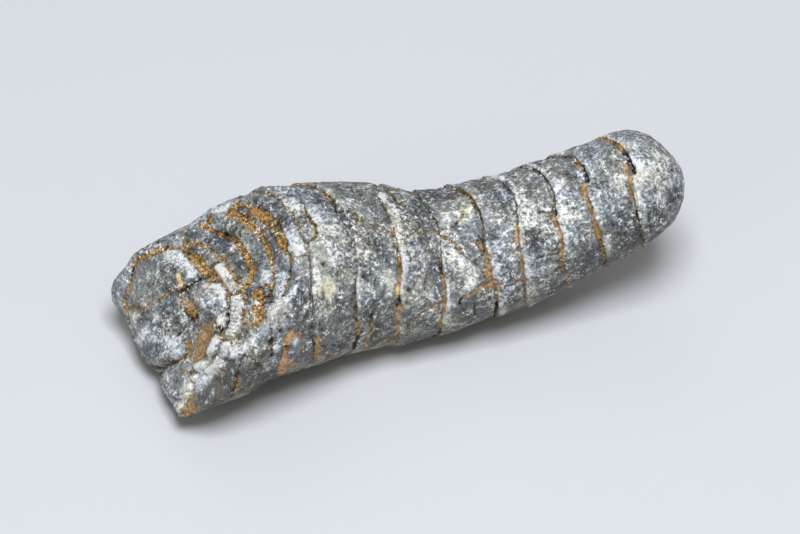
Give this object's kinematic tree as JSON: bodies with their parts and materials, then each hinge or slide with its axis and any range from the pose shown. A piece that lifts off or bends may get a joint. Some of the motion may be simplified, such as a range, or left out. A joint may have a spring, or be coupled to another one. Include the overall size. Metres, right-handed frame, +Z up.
{
  "type": "orthoceras fossil",
  "caption": "Straight-shelled nautiloid fossil in grey limestone: a slightly bent cone with chamber grooves, broken across its wide end, that lies on its worn belly as a display piece.",
  "frame": {"origin": "middle of the footprint, on the surface the fossil lies on", "axes": "+X along the cone towards its blunt narrow tip, +Z up, so the broken wide end faces -X"},
  "size_m": [0.0854, 0.0322, 0.0288],
  "materials": {
    "limestone": "rough, weathered, with white calcite grains and ochre clay in the grooves"
  },
  "bodies": {
    "root": {"fossil": "limestone"}
  },
  "joints": []
}
